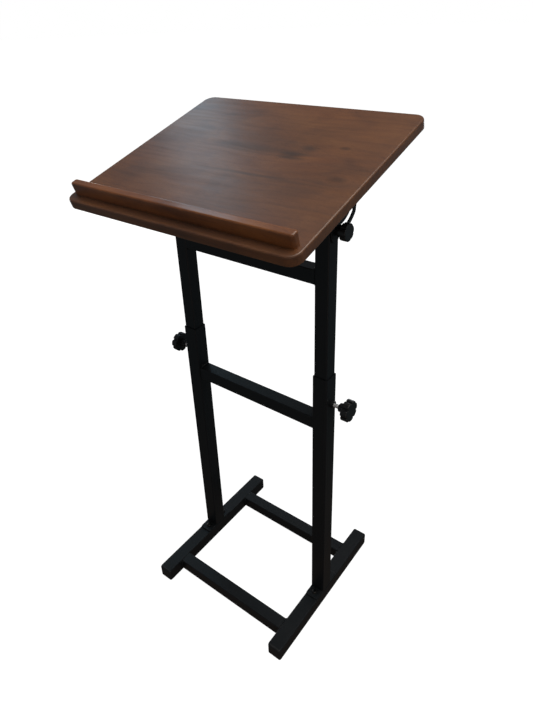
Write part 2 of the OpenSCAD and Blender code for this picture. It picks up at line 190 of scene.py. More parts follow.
# %% [markdown]
# ## Zinc plating and black screws
# Bought fasteners are electroplated with bright zinc and passivated: a cool light grey with a
# slightly clouded gloss. The chromate film on the plating scatters some of the light, so the
# metallic value stays halfway. The foot screws are blackened steel: a dark conversion layer,
# glossier than powder coat and a little brown where the driver has rubbed it. In both, one fine
# noise clouds the colour and the gloss together.

# %% Bright zinc plate and blackened steel
def clouded_metal(name, patch, detail, roughness, shades, gloss, metallic):
    """patch is the size of the clouding, and shades and gloss run from one end of it to the
    other."""
    finish, recipe, surface = new_finish(name)
    place = add_node(recipe, "TexCoord").outputs["Object"]
    clouding = add_node(recipe, "TexNoise",
                        {"Vector": place, "Scale": 1 / patch, "Detail": detail,
                         "Roughness": roughness})
    shade = add_node(recipe, "Mix",
                     {0: clouding, MIX_A: colour(shades[0]), MIX_B: colour(shades[1])},
                     data_type="RGBA")
    rough = add_node(recipe, "MapRange",
                     {"Value": clouding, "From Min": 0.3, "From Max": 0.7,
                      "To Min": gloss[0], "To Max": gloss[1]})
    set_inputs(recipe, surface, {"Base Color": shade, "Roughness": rough, "Metallic": metallic})
    return finish


bright_zinc = clouded_metal("Bright zinc plate", 3 * mm, 3.0, 0.5, ("#f2f4f5", "#dcdfe2"),
                            (0.22, 0.36), 0.5)
screw_steel = clouded_metal("Blackened screw steel", 2.5 * mm, 4.0, 0.65,
                            ("#17191b", "#34322f"), (0.28, 0.42), 0.7)
print("finishes:", bright_zinc.name, "and", screw_steel.name)

# %% [markdown]
# ## Walnut stain under satin lacquer
# The board and the book stop are wood with the grain from left to right, stained to a walnut
# brown and lacquered. Growth rings cut at a shallow angle give long dark bands that wander
# along the board, the fibres give hair-thin lines, and the stain sinks unevenly, so there are
# soft darker clouds and a few knots. All of it is a solid pattern that runs through the piece,
# so an edge or an end shows the same rings from another side. The lacquer is a clear coat.

# %% Walnut-stained wood
def stained_walnut(name, tones, knots, smudges_and_shade, ring_centre, coat, coat_roughness):
    """tones are the stain's colours from dark to light. knots are (x, y, z, radius) and
    smudges_and_shade (x, y, half length, half width, strength) in the desk's frame: soft dark
    patches of stain, and one of painted shade that stands for the book stop's shadow. ring_centre
    is the heart of the tree in that frame."""
    dark, middle, light = tones
    finish, recipe, surface = new_finish(name)
    place = add_node(recipe, "TexCoord").outputs["Object"]
    # Turned back by the slope, so that the pattern lies in the board
    flat = add_node(recipe, "Mapping",
                    {"Vector": place, "Location": hinge, "Rotation": (desk_slope, 0, 0)},
                    vector_type="TEXTURE")

    # Wander of the rings: slow along the grain, quicker across it
    slow = add_node(recipe, "Mapping", {"Vector": flat, "Scale": (2.2, 9, 9)})
    wander = add_node(recipe, "TexNoise",
                      {"Vector": slow, "Scale": 1.0, "Detail": 3.0, "Roughness": 0.5})
    swerve = add_node(recipe, "VectorMath",
                      {0: wander.outputs["Color"], 1: (0.5, 0.5, 0.5)}, operation="SUBTRACT")
    bent = add_node(recipe, "VectorMath", {0: swerve, 1: (0, 0.075, 0.05), 2: flat},
                    operation="MULTIPLY_ADD")

    # The rings flow round each knot, and the knot itself is dark
    knot_shade = None
    for x, y, z, radius in knots:
        offset = add_node(recipe, "VectorMath", {0: flat, 1: (x, y, z)}, operation="SUBTRACT")
        squeezed = add_node(recipe, "VectorMath", {0: offset, 1: (0.5, 1, 0.3)},
                            operation="MULTIPLY")
        away = add_node(recipe, "VectorMath", {0: squeezed}, operation="LENGTH")
        push = add_node(recipe, "MapRange",
                        {"Value": away, "From Min": 0.0, "From Max": radius * 4,
                         "To Min": radius * 1.6, "To Max": 0.0},
                        interpolation_type="SMOOTHSTEP")
        side = add_node(recipe, "VectorMath", {0: squeezed}, operation="NORMALIZE")
        pushed = add_node(recipe, "VectorMath", {0: side, "Scale": push}, operation="SCALE")
        bent = add_node(recipe, "VectorMath", {0: bent, 1: pushed}, operation="SUBTRACT")
        heart = add_node(recipe, "MapRange",
                         {"Value": away, "From Min": radius * 0.25, "From Max": radius * 1.2,
                          "To Min": 1.0, "To Max": 0.0}, interpolation_type="SMOOTHSTEP")
        knot_shade = heart if knot_shade is None else add_node(
            recipe, "Math", {0: knot_shade, 1: heart}, operation="MAXIMUM")

    # Growth rings about the heart of the tree, 8.5 mm apart
    heartwood = add_node(recipe, "VectorMath", {0: bent, 1: ring_centre}, operation="SUBTRACT")
    across = add_node(recipe, "VectorMath", {0: heartwood, 1: (0.02, 1, 1)},
                      operation="MULTIPLY")
    ring_radius = add_node(recipe, "VectorMath", {0: across}, operation="LENGTH")
    ring_count = add_node(recipe, "Math", {0: ring_radius, 1: 1 / (8.5 * mm)},
                          operation="MULTIPLY")
    ring = add_node(recipe, "Math", {0: ring_count}, operation="FRACT")
    # A ring darkens slowly through the year and ends sharply
    latewood = add_node(recipe, "ValToRGB", {"Fac": ring})
    steps = latewood.color_ramp.elements
    steps[0].position, steps[0].color = 0.0, (0.30, 0.30, 0.30, 1)
    steps[1].position, steps[1].color = 1.0, (0.30, 0.30, 0.30, 1)
    for position, level in ((0.10, 0.12), (0.45, 0.25), (0.80, 0.62), (0.93, 1.0)):
        step = steps.new(position)
        step.color = (level, level, level, 1)

    # Each noise is drawn out along the grain: its place, its waves in a metre along and across
    # the grain, and its detail, roughness and distortion
    noises = {
        # Hair lines half a millimetre apart and about eighty long
        "fibres": (bent, 12, 900, 4.0, 0.6, 0.0),
        # Broader streaks where the stain took more or less
        "streaks": (bent, 5, 95, 5.0, 0.55, 0.0),
        # Clouds of stain, about a hand wide
        "clouds": (flat, 9, 17, 5.0, 0.55, 0.6),
        # Pores: short dark dashes. Real ones are 0.2 mm wide, drawn at 0.5 mm so that they show
        "pores": (bent, 130, 2000, 1.0, 0.5, 0.0),
        # Red and olive casts in patches, as heartwood has
        "casts": (flat, 5, 11, 2.0, 0.5, 0.0),
    }
    drawn = {}
    for label, (where, along, across_grain, detail, roughness, distortion) in noises.items():
        stretched = add_node(recipe, "Mapping",
                             {"Vector": where, "Scale": (along, across_grain, across_grain)})
        drawn[label] = add_node(recipe, "TexNoise",
                                {"Vector": stretched, "Scale": 1.0, "Detail": detail,
                                 "Roughness": roughness, "Distortion": distortion})
    pore_depth = add_node(recipe, "MapRange",
                          {"Value": drawn["pores"], "From Min": 0.62, "From Max": 0.74})

    # How dark the wood is: rings, streaks, clouds and fibres added with their weights
    total = None
    for source, weight in ((latewood, 0.06), (drawn["streaks"], 0.22),
                           (drawn["clouds"], 0.65), (drawn["fibres"], 0.17)):
        total = add_node(recipe, "Math",
                         {0: source, 1: weight, 2: 0.0 if total is None else total},
                         operation="MULTIPLY_ADD")
    tone = add_node(recipe, "MapRange", {"Value": total, "From Min": 0.35, "From Max": 0.77})
    stain = add_node(recipe, "ValToRGB", {"Fac": tone})
    stops = stain.color_ramp.elements
    stops[0].position, stops[0].color = 0.0, colour(light)
    stops[1].position, stops[1].color = 1.0, colour(dark)
    stops.new(0.5).color = colour(middle)

    # Smudges: long soft dark patches, ragged along the grain. Most are where the wood drank more
    # stain; the one along the strip in front of the book stop is painted shade from the stop.
    patches_and_shade = None
    for x, y, half_length, half_width, strength in smudges_and_shade:
        offset = add_node(recipe, "VectorMath",
                          {0: flat, 1: (x, y, desk_top_height)}, operation="SUBTRACT")
        spread = add_node(recipe, "VectorMath",
                          {0: offset, 1: (1 / half_length, 1 / half_width, 1 / half_width)},
                          operation="MULTIPLY")
        away = add_node(recipe, "VectorMath", {0: spread}, operation="LENGTH")
        ragged = add_node(recipe, "Math", {0: drawn["streaks"], 1: -1.5, 2: away},
                          operation="MULTIPLY_ADD")
        patch = add_node(recipe, "MapRange",
                         {"Value": ragged, "From Min": -0.75, "From Max": 0.45,
                          "To Min": strength, "To Max": 0.0},
                         interpolation_type="SMOOTHSTEP")
        patches_and_shade = patch if patches_and_shade is None else add_node(
            recipe, "Math", {0: patches_and_shade, 1: patch}, operation="MAXIMUM")

    # The casts tint the stain, and then pores, smudges (with the painted shade in front of the
    # book stop) and knots are laid over it in turn
    cast = add_node(recipe, "Mix",
                    {0: drawn["casts"], MIX_A: colour("#ffe9dc"), MIX_B: colour("#fbf7e6")},
                    data_type="RGBA")
    marked = add_node(recipe, "Mix", {0: 1.0, MIX_A: stain, MIX_B: cast},
                      data_type="RGBA", blend_type="MULTIPLY")
    for cover, strength, shade in ((pore_depth, 0.45, "#24140d"), (patches_and_shade, 1.0, "#332720"),
                                   (knot_shade, 0.5, "#2b1a12")):
        if cover is not None:
            amount = add_node(recipe, "Math", {0: cover, 1: strength}, operation="MULTIPLY")
            marked = add_node(recipe, "Mix",
                              {0: amount, MIX_A: marked, MIX_B: colour(shade)},
                              data_type="RGBA")

    # The lacquer fills most of the grain, so the relief is faint
    height = add_node(recipe, "Math", {0: drawn["fibres"], 1: 0.5}, operation="MULTIPLY")
    pitted = add_node(recipe, "Math", {0: pore_depth, 1: -0.6, 2: height},
                      operation="MULTIPLY_ADD")
    relief = add_node(recipe, "Bump",
                      {"Strength": 0.12, "Distance": 0.06 * mm, "Height": pitted})
    rough = add_node(recipe, "MapRange",
                     {"Value": drawn["streaks"], "From Min": 0.3, "From Max": 0.7,
                      "To Min": 0.36, "To Max": 0.46})
    set_inputs(recipe, surface, {
        "Base Color": marked, "Roughness": rough, "Normal": relief, "IOR": 1.5,
        "Coat Weight": coat, "Coat Roughness": coat_roughness, "Coat IOR": 1.5})
    return finish


board_low, board_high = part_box("desk_board")
stop_low, stop_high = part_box("book_stop")
# Four smudges of stain, and last a long one that darkens the strip between the board's front edge
# and the book stop: painted shade from the stop.
board_smudges_and_shade = [(82 * mm, 30 * mm, 36 * mm, 15 * mm, 0.80),
                 (100 * mm, 58 * mm, 20 * mm, 12 * mm, 0.60),
                 (0 * mm, 38 * mm, 90 * mm, 22 * mm, 0.45),
                 (60 * mm, -37 * mm, 110 * mm, 4.5 * mm, 0.45),
                 (0 * mm, -186 * mm, 400 * mm, 14 * mm, 0.35)]
board_walnut = stained_walnut(
    "Walnut stain under lacquer, board", ("#573a2b", "#724c32", "#855c3b"),
    [(195 * mm, -14 * mm, 36 * mm, 9 * mm), (160 * mm, 72 * mm, 36 * mm, 6 * mm)],
    board_smudges_and_shade, (0, 60 * mm, -90 * mm), 0.35, 0.25)
stop_walnut = stained_walnut(
    "Walnut stain under lacquer, book stop", ("#5a341d", "#835129", "#9b6331"), [], [],
    (0, -240 * mm, -30 * mm), 0.6, 0.14)
print("finishes:", board_walnut.name, "and", stop_walnut.name)

# %% [markdown]
# ## Tools for the metalwork
# Every operator works on whatever is selected, so each piece starts with nothing selected. In
# edit mode, faces and edges are chosen by where they are or which way they face, as a hand
# would pick them. A finished piece gets its finish, rides on its body, and stands for its node
# in the engineering model.

# %% Selecting and finishing
def select_nothing():
    if bpy.context.object and bpy.context.object.mode != "OBJECT":
        bpy.ops.object.mode_set(mode="OBJECT")
    bpy.ops.object.select_all(action="DESELECT")


def pick(piece):
    """Selects one piece and makes it the active one."""
    select_nothing()
    piece.select_set(True)
    bpy.context.view_layer.objects.active = piece


def choose(kind, wanted):
    """In edit mode, selects only the vertices, edges or faces that wanted() accepts."""
    bpy.ops.mesh.select_mode(type=kind)
    bpy.ops.mesh.select_all(action="DESELECT")
    shape = bmesh.from_edit_mesh(bpy.context.object.data)
    chosen = [part for part in
              {"VERT": shape.verts, "EDGE": shape.edges, "FACE": shape.faces}[kind]
              if wanted(part)]
    for part in chosen:
        part.select_set(True)
    shape.select_flush_mode()
    bmesh.update_edit_mesh(bpy.context.object.data)
    return len(chosen)


def bevel(offset, segments):
    bpy.ops.mesh.bevel(offset=offset, segments=segments, affect="EDGES")


def in_plane(edge, axis, level):
    """Whether an edge lies in the plane at that level of the axis."""
    return all(abs(v.co[axis] - level) < 1e-6 for v in edge.verts)


def runs_along(edge, axis):
    """Whether an edge runs along that axis, 0 for X, 1 for Y and 2 for Z."""
    way = (edge.verts[1].co - edge.verts[0].co).normalized()
    return abs(way[axis]) > 0.999


def face_outwards():
    """Turns every face of the piece being edited outwards, and leaves edit mode."""
    bpy.ops.mesh.select_all(action="SELECT")
    bpy.ops.mesh.normals_make_consistent(inside=False)
    bpy.ops.object.mode_set(mode="OBJECT")


def apply_modifier(piece, kind, **settings):
    bpy.context.view_layer.objects.active = piece
    modifier = piece.modifiers.new(kind.title(), kind)
    for name, value in settings.items():
        setattr(modifier, name, value)
    bpy.ops.object.modifier_apply(modifier=modifier.name)


def smooth(piece, angle=35):
    """Smooth shading over the rounded edges, with the flat faces kept flat."""
    pick(piece)
    bpy.ops.object.shade_smooth_by_angle(angle=math.radians(angle))
    apply_modifier(piece, "WEIGHTED_NORMAL", keep_sharp=True)


def fit(piece, name, finish, slot, body, *nodes):
    """Names a finished piece, gives it its finish, and puts it on its body."""
    piece.name = name
    piece.data.name = name
    piece.data.materials.clear()
    piece.data.materials.append(finish)
    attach(piece, body)
    if nodes:
        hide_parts(*nodes)
    size = Vector(piece.dimensions) / mm
    print(f"{name}: {len(piece.data.polygons)} faces, "
          f"{size.x:.1f} x {size.y:.1f} x {size.z:.1f} mm")
    return piece


# %% A block, and a move into place
def block(low, high):
    """A box from its lowest corner to its highest, with its place in its mesh, in edit mode."""
    select_nothing()
    low, high = Vector(low), Vector(high)
    bpy.ops.mesh.primitive_cube_add(size=1, location=(low + high) / 2, scale=high - low)
    bpy.ops.object.transform_apply()
    bpy.ops.object.mode_set(mode="EDIT")
    return bpy.context.object


def move_into_place(piece, place):
    """Moves a piece that was made in another frame, and puts its place in its mesh."""
    pick(piece)
    piece.matrix_world = place
    bpy.ops.object.transform_apply()
    return piece


def copy_into_place(piece, place):
    """A copy with its own mesh, moved into place."""
    pick(piece)
    bpy.ops.object.duplicate(linked=False)
    return move_into_place(bpy.context.object, place)


def cut(piece, cutter):
    """Takes the shape of cutter out of the piece, and throws the cutter away."""
    pick(piece)
    apply_modifier(piece, "BOOLEAN", operation="DIFFERENCE", solver="EXACT", object=cutter)
    bpy.data.objects.remove(cutter)


def rod(radius, start, end, vertices=32):
    """A plain round bar between two points, used to cut holes and to start turned pieces."""
    select_nothing()
    start, end = Vector(start), Vector(end)
    along = end - start
    bpy.ops.mesh.primitive_cylinder_add(
        vertices=vertices, radius=radius, depth=along.length, location=(start + end) / 2,
        rotation=along.to_track_quat("Z", "Y").to_euler())
    bpy.ops.object.transform_apply()
    return bpy.context.object


# %% [markdown]
# ## The desk board
# The real board is 18 mm thick with corners rounded to about 20 mm and every edge eased by a
# router. It starts as a block in the desk's own flat frame: the four upright edges are bevelled
# into round corners, then the edges of the top and bottom faces are bevelled again, and last it
# is turned to its slope. Three screws for the book stop come up from below, in counterbores.

# %% Model the board
board_across = (board_high.x - board_low.x) / 2
desk_front, desk_back = -197 * mm, 203 * mm
desk_under = desk_top_height - 18 * mm
stop_front, stop_deep, stop_tall = desk_front + 18 * mm, 15 * mm, 22.5 * mm

board = block((-board_across, desk_front, desk_under), (board_across, desk_back, desk_top_height))
choose("EDGE", lambda edge: runs_along(edge, 2))
bevel(20 * mm, 14)
for level in (desk_top_height, desk_under):
    choose("EDGE", lambda edge: in_plane(edge, 2, level))
    bevel(3 * mm, 5)
stop_middle = stop_front + stop_deep / 2
head_radius, head_depth = 4.5 * mm, 3.2 * mm
for x in (-190 * mm, 0, 190 * mm):
    cut(board, rod(head_radius, (x, stop_middle, desk_under - 1 * mm),
                   (x, stop_middle, desk_under + head_depth)))
smooth(board)
move_into_place(board, desk_frame)
fit(board, "walnut_board", board_walnut, "walnut", "desk", "desk_board")

# %% [markdown]
# ## The book stop
# A strip of the same wood keeps books from sliding off. Its top edges are rounded and its ends
# are eased in plan, while the underside stays sharp where it meets the board.

# %% Model the book stop
stop_half = (stop_high.x - stop_low.x) / 2
rest_top = desk_top_height + stop_tall
book_rest = block((-stop_half, stop_front, desk_top_height),
                  (stop_half, stop_front + stop_deep, rest_top))
choose("EDGE", lambda edge: runs_along(edge, 2))
bevel(5 * mm, 8)
choose("EDGE", lambda edge: in_plane(edge, 2, rest_top))
bevel(3 * mm, 6)
smooth(book_rest)
move_into_place(book_rest, desk_frame)
fit(book_rest, "walnut_book_rest", stop_walnut, "walnut", "desk", "book_stop")

# %% [markdown]
# ## Square tube
# Posts, crossbars and runners are all cold-rolled square tube: rounded outside corners, a thin
# wall and sawn, deburred ends. A block becomes a tube when both end faces are inset by the wall
# and the two inner faces are replaced by a bridge. Bevels then round the long edges, and a fine
# bevel round the mouths catches the light there.

# %% Make a tube
def tube(low, high, axis, wall, corner=2 * mm, mouth=0.25 * mm):
    piece = block(low, high)
    ends = (low[axis], high[axis])
    choose("FACE", lambda face: abs(face.normal[axis]) > 0.9)
    bpy.ops.mesh.inset(thickness=wall)
    bpy.ops.mesh.bridge_edge_loops()
    middle = (Vector(low) + Vector(high)) / 2
    reach = min(high[i] - low[i] for i in range(3) if i != axis) / 2

    def is_long(edge, outside):
        away = max(abs((edge.verts[0].co - middle)[i]) for i in range(3) if i != axis)
        return runs_along(edge, axis) and (away > reach - wall / 2) == outside

    choose("EDGE", lambda edge: is_long(edge, True))
    bevel(corner, 5)
    choose("EDGE", lambda edge: is_long(edge, False))
    bevel(max(corner - wall, 0.6 * mm), 3)
    choose("EDGE", lambda edge: any(
        all(abs(v.co[axis] - end) < 1e-7 for v in edge.verts) for end in ends)
        and len({round(f.normal[axis], 2) for f in edge.link_faces}) > 1)
    bevel(mouth, 2)
    face_outwards()
    smooth(piece)
    return piece


tubes = [  # name, node it stands for, its body, the axis it runs along, and its wall
    ("runner_left", "base_runner_left", "base", 1, 1.5),
    ("runner_right", "base_runner_right", "base", 1, 1.5),
    ("foot_bar_front", "base_crossbar_front", "base", 0, 1.2),
    ("foot_bar_rear", "base_crossbar_rear", "base", 0, 1.2),
    ("sleeve_post_left", "outer_post_left", "base", 2, 1.5),
    ("sleeve_post_right", "outer_post_right", "base", 2, 1.5),
    ("middle_bar", "mid_crossbar", "base", 0, 1.2),
    ("sliding_post_left", "inner_post_left", "upper_frame", 2, 1.2),
    ("sliding_post_right", "inner_post_right", "upper_frame", 2, 1.2),
    ("top_bar", "upper_crossbar", "upper_frame", 0, 1.2),
]
for name, stands_for, body, axis, wall in tubes:
    low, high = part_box(stands_for)
    fit(tube(low, high, axis, wall * mm), name, coated_steel, "steel_black", body, stands_for)

# %% [markdown]
# ## Plugs in the runners
# A plastic plug closes each end of the runners. Only its end plate shows: the size of the tube,
# a few millimetres thick, with a soft rim. Each is a block with rounded edges. Its outer face
# is extruded and shrunk twice, so that it is slightly crowned, and a stub goes into the tube.

# %% Model the four plugs
runner_low, runner_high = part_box("base_runner_right")
plug_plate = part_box("runner_end_caps")[1].y - runner_high.y


def runner_plug(x_middle, end_y, way):
    """A plug whose plate lies from the tube's end at end_y, outwards along way in Y."""
    half = (runner_high.x - runner_low.x) / 2
    crown = 0.8 * mm
    near, far = sorted((end_y, end_y + way * (plug_plate - crown)))
    low = Vector((x_middle - half, near, 0))
    high = Vector((x_middle + half, far, 2 * half))
    piece = block(low, high)
    choose("EDGE", lambda edge: runs_along(edge, 1))
    bevel(3.5 * mm, 6)
    rim = high.y if way > 0 else low.y
    choose("EDGE", lambda edge: in_plane(edge, 1, rim))
    bevel(2.6 * mm, 5)
    choose("FACE", lambda face: face.normal.y * way > 0.999)
    for shrink, rise in ((0.90, crown * 0.75), (0.75, crown * 0.25)):
        bpy.ops.mesh.extrude_region()
        bpy.ops.transform.resize(value=(shrink, 1, shrink),
                                 center_override=(x_middle, rim, half))
        bpy.ops.transform.translate(value=(0, way * rise, 0))
    choose("FACE", lambda face: face.normal.y * way < -0.9)
    bpy.ops.mesh.inset(thickness=1.8 * mm)
    bpy.ops.mesh.extrude_region_move(TRANSFORM_OT_translate={"value": (0, -way * 14 * mm, 0)})
    face_outwards()
    smooth(piece, 50)
    return piece


post_x = (runner_low.x + runner_high.x) / 2
for side, x in (("left", -post_x), ("right", post_x)):
    for end, y, way in (("front", runner_low.y, -1), ("rear", runner_high.y, 1)):
        fit(runner_plug(x, y, way), f"runner_plug_{end}_{side}", plug_plastic,
            "plastic_black", "base", "runner_end_caps")

# %% [markdown]
# ## Foot plates and their screws
# A flat bar lies across each runner under the post, with rounded corners and a screw at each
# end. The screws are pan heads with a cross recess. A head is turned first: a disc whose top is
# inset and raised in steps until it is a dome. Then the two slots of the cross are cut.

# %% Model the foot plates
def foot_plate(node_name):
    low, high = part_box(node_name)
    piece = block(low, high)
    choose("EDGE", lambda edge: runs_along(edge, 2))
    bevel(5 * mm, 6)
    choose("EDGE", lambda edge: in_plane(edge, 2, high.z))
    bevel(1 * mm, 3)
    smooth(piece)
    return piece


for side in ("left", "right"):
    fit(foot_plate(f"foot_plate_{side}"), f"foot_flat_{side}", coated_steel, "steel_black",
        "base", f"foot_plate_{side}")

# %% Turn one pan-head screw
def pan_head_screw(head_radius, head_height, shank_radius, shank_length):
    """A screw along Z with the underside of its head at the origin."""
    piece = rod(head_radius, (0, 0, 0), (0, 0, head_height * 0.35), 48)
    bpy.ops.object.mode_set(mode="EDIT")
    choose("FACE", lambda face: face.normal.z > 0.9)
    rise = head_height * 0.65
    rings = 5
    for ring in range(rings):
        a, b = ring / rings * math.pi / 2, (ring + 1) / rings * math.pi / 2
        bpy.ops.mesh.inset(thickness=head_radius * 0.62 * (math.cos(a) - math.cos(b)))
        bpy.ops.transform.translate(value=(0, 0, rise * (math.sin(b) - math.sin(a))))
    choose("FACE", lambda face: face.normal.z < -0.9)
    bpy.ops.mesh.inset(thickness=head_radius - shank_radius)
    bpy.ops.mesh.extrude_region_move(TRANSFORM_OT_translate={"value": (0, 0, -shank_length)})
    bpy.ops.object.mode_set(mode="OBJECT")
    for turn in (0, 90):
        arm = block((-head_radius * 0.58, -head_radius * 0.13, head_height * 0.35),
                    (head_radius * 0.58, head_radius * 0.13, head_height * 2))
        choose("FACE", lambda face: face.normal.z < -0.9)
        bpy.ops.transform.resize(value=(0.55, 0.7, 1), center_override=(0, 0, 0))
        bpy.ops.object.mode_set(mode="OBJECT")
        move_into_place(arm, Matrix.Rotation(math.radians(turn + 20), 4, "Z"))
        cut(piece, arm)
    smooth(piece, 32)
    return piece


plate_low, plate_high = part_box("foot_plate_right")
foot_screw = pan_head_screw(5.75 * mm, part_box("foot_screws")[1].z - plate_high.z, 3 * mm,
                            15 * mm)
plate_middle = (plate_low.y + plate_high.y) / 2
for side, x in (("left", -post_x), ("right", post_x)):
    for end, y in (("front", -28 * mm), ("rear", 28 * mm)):
        turn = {"front": 0.35, "rear": 1.2}[end] * (1 if side == "left" else -1)
        place = Matrix.Translation((x, plate_middle + y, plate_high.z)) @ Matrix.Rotation(
            turn, 4, "Z")
        fit(copy_into_place(foot_screw, place), f"foot_screw_{end}_{side}", screw_steel,
            "screw_black", "base", "foot_screws")
bpy.data.objects.remove(foot_screw)

# %% [markdown]
# ## Weld beads
# Where a crossbar meets a post or a runner, a bead of weld lies in the corner. The welder moves
# on in short steps, so a bead has a ripple every two millimetres or so. It starts as a ring of
# vertices that is extruded again and again, a little fatter and a little thinner in turn, and
# the ends are closed round. Powder coat covers it all.

# %% Lay a weld bead
def weld_bead(start, end, radius, ripple=2.2 * mm):
    select_nothing()
    start, end = Vector(start), Vector(end)
    steps = max(6, 2 * round((end - start).length / ripple))
    stride = (end - start) / steps
    bpy.ops.mesh.primitive_circle_add(
        vertices=14, radius=radius * 0.62, location=start, fill_type="NGON",
        rotation=(end - start).to_track_quat("Z", "Y").to_euler())
    bpy.ops.object.transform_apply()
    bpy.ops.object.mode_set(mode="EDIT")
    bpy.ops.mesh.select_all(action="SELECT")
    width, place = 0.62, Vector(start)
    for step in range(steps):
        grown = 0.78 if step == steps - 1 else (1.0 if step % 2 == 0 else 0.88)
        bpy.ops.mesh.extrude_region_move(TRANSFORM_OT_translate={"value": stride})
        place += stride
        bpy.ops.transform.resize(value=(grown / width,) * 3, center_override=place)
        width = grown
    face_outwards()
    piece = bpy.context.object
    apply_modifier(piece, "SUBSURF", levels=1, render_levels=1)
    smooth(piece, 60)
    return piece


bead = 2.6 * mm
sink = 0.9 * mm          # how far the middle of a bead sits out from the corner
weld_spots = []          # name, node it stands for, its body, and the ends of the bead
for label, bar, stands_for, body in (
        ("middle", "mid_crossbar", "mid_weld_fillets", "base"),
        ("top", "upper_crossbar", "upper_weld_fillets", "upper_frame")):
    low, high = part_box(bar)
    for side, x in (("left", low.x + sink), ("right", high.x - sink)):
        for level, z in (("upper", high.z + sink), ("lower", low.z - sink)):
            weld_spots.append((f"weld_{label}_{level}_{side}", stands_for, body,
                               (x, low.y + 3 * mm, z), (x, high.y - 3 * mm, z)))
for end, node_name in (("front", "base_crossbar_front"), ("rear", "base_crossbar_rear")):
    low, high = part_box(node_name)
    for side, x in (("left", low.x + sink), ("right", high.x - sink)):
        for face, y in (("near", low.y - sink), ("far", high.y + sink)):
            weld_spots.append((f"weld_foot_{end}_{face}_{side}", "base_weld_fillets", "base",
                               (x, y, low.z + 3 * mm), (x, y, high.z - 3 * mm)))
for name, stands_for, body, start, end in weld_spots:
    fit(weld_bead(start, end, bead), name, coated_steel, "steel_black", body, stands_for)

# %% [markdown]
# ## Straps on the sliding posts
# A strap of 3 mm steel is welded to the outer face of each sliding post and carries the tilt
# stud. Its lower end is a half circle that shows behind the slotted plate. A block gets its
# four corners bevelled by almost half its width, and a second fine bevel breaks the rim.

# %% Model the straps
def strap(node_name, outward):
    low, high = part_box(node_name)
    piece = block(low, high)
    choose("EDGE", lambda edge: runs_along(edge, 0))
    bevel((high.y - low.y) / 2 - 0.05 * mm, 14)
    outer = high.x if outward > 0 else low.x
    choose("EDGE", lambda edge: in_plane(edge, 0, outer))
    bevel(0.5 * mm, 2)
    bpy.ops.object.mode_set(mode="OBJECT")
    return piece


stud_low, stud_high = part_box("tilt_stud_right")
stud_axis = (stud_low + stud_high) / 2
# The holes clear an M8 thread, and the cutter reaches past both faces of the strap
hole_radius, cut_from, cut_to = 4.3 * mm, 170 * mm, 190 * mm
for side, way in (("left", -1), ("right", 1)):
    piece = strap(f"tilt_strap_{side}", way)
    for z in (stud_axis.z, hinge.z):
        cut(piece, rod(hole_radius, (way * cut_from, stud_axis.y, z),
                       (way * cut_to, stud_axis.y, z)))
    smooth(piece)
    fit(piece, f"welded_strap_{side}", coated_steel, "steel_black", "upper_frame",
        f"tilt_strap_{side}")

# %% [markdown]
# ## Slotted plates
# The plate that carries the curved slot is laser cut and folded, so its outline is already
# exact in the engineering model. A copy of it is merged into one skin, flat areas are joined
# into single faces, and a fine bevel takes the sharpness off every cut edge.

# %% Ease the edges of the slotted plates
def eased_copy(node_name, ease):
    pick(frame["nodes"][node_name])
    bpy.ops.object.duplicate(linked=False)
    piece = bpy.context.object
    # The copy keeps nothing of the node's own labels, parent or place
    for key in list(piece.keys()):
        del piece[key]
    piece.parent = None
    piece.matrix_world = Matrix.Identity(4)
    bpy.ops.object.mode_set(mode="EDIT")
    bpy.ops.mesh.select_all(action="SELECT")
    bpy.ops.mesh.remove_doubles(threshold=0.002 * mm)
    bpy.ops.mesh.customdata_custom_splitnormals_clear()
    bpy.ops.mesh.dissolve_limited(angle_limit=math.radians(1))
    bpy.ops.object.mode_set(mode="OBJECT")
    apply_modifier(piece, "BEVEL", width=ease, segments=2, limit_method="ANGLE",
                   angle_limit=math.radians(40), use_clamp_overlap=True)
    smooth(piece)
    return piece


for side in ("left", "right"):
    fit(eased_copy(f"arc_plate_{side}", 0.35 * mm), f"slotted_plate_{side}", coated_steel,
        "steel_black", "desk", f"arc_plate_{side}")

# %% [markdown]
# ## Nuts and threaded studs
# The knobs screw into hexagon nuts that are welded to the posts. A hexagon bar is chamfered by
# taking the common part with a ball, as the turning tool does on real nuts. The studs
# are M8 with a pitch of 1.25 mm: one pitch of the thread's outline is swept round the axis by a
# Screw modifier, so the thread is a true helix.

# %% Model the weld nuts
def hexagon_nut(inner_x, outer_x, y, z, across_flats):
    """A nut with its axis along X, bored for an M8 stud."""
    piece = rod(across_flats / math.sqrt(3), (inner_x, y, z), (outer_x, y, z), 6)
    ball_radius = across_flats * 0.78
    outer = max(inner_x, outer_x, key=abs)
    way = 1 if outer > 0 else -1
    select_nothing()
    bpy.ops.mesh.primitive_uv_sphere_add(
        segments=48, ring_count=24, radius=ball_radius,
        location=(outer - way * (ball_radius - 0.2 * mm) * 0.77, y, z))
    bpy.ops.object.transform_apply()
    ball = bpy.context.object
    pick(piece)
    apply_modifier(piece, "BOOLEAN", operation="INTERSECT", solver="EXACT", object=ball)
    bpy.data.objects.remove(ball)
    cut(piece, rod(4.1 * mm, (min(inner_x, outer_x) - 1 * mm, y, z),
                   (max(inner_x, outer_x) + 1 * mm, y, z)))
    smooth(piece)
    return piece


knob_low, knob_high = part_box("height_knob_right")
knob_axis = (knob_low + knob_high) / 2
nut_face, sleeve_face = (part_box(name)[1].x for name in ("height_weld_nuts", "outer_post_right"))
for side, way in (("left", -1), ("right", 1)):
    fit(hexagon_nut(way * sleeve_face, way * nut_face, knob_axis.y, knob_axis.z, 13 * mm),
        f"sleeve_nut_{side}", coated_steel, "steel_black", "base", "height_weld_nuts")

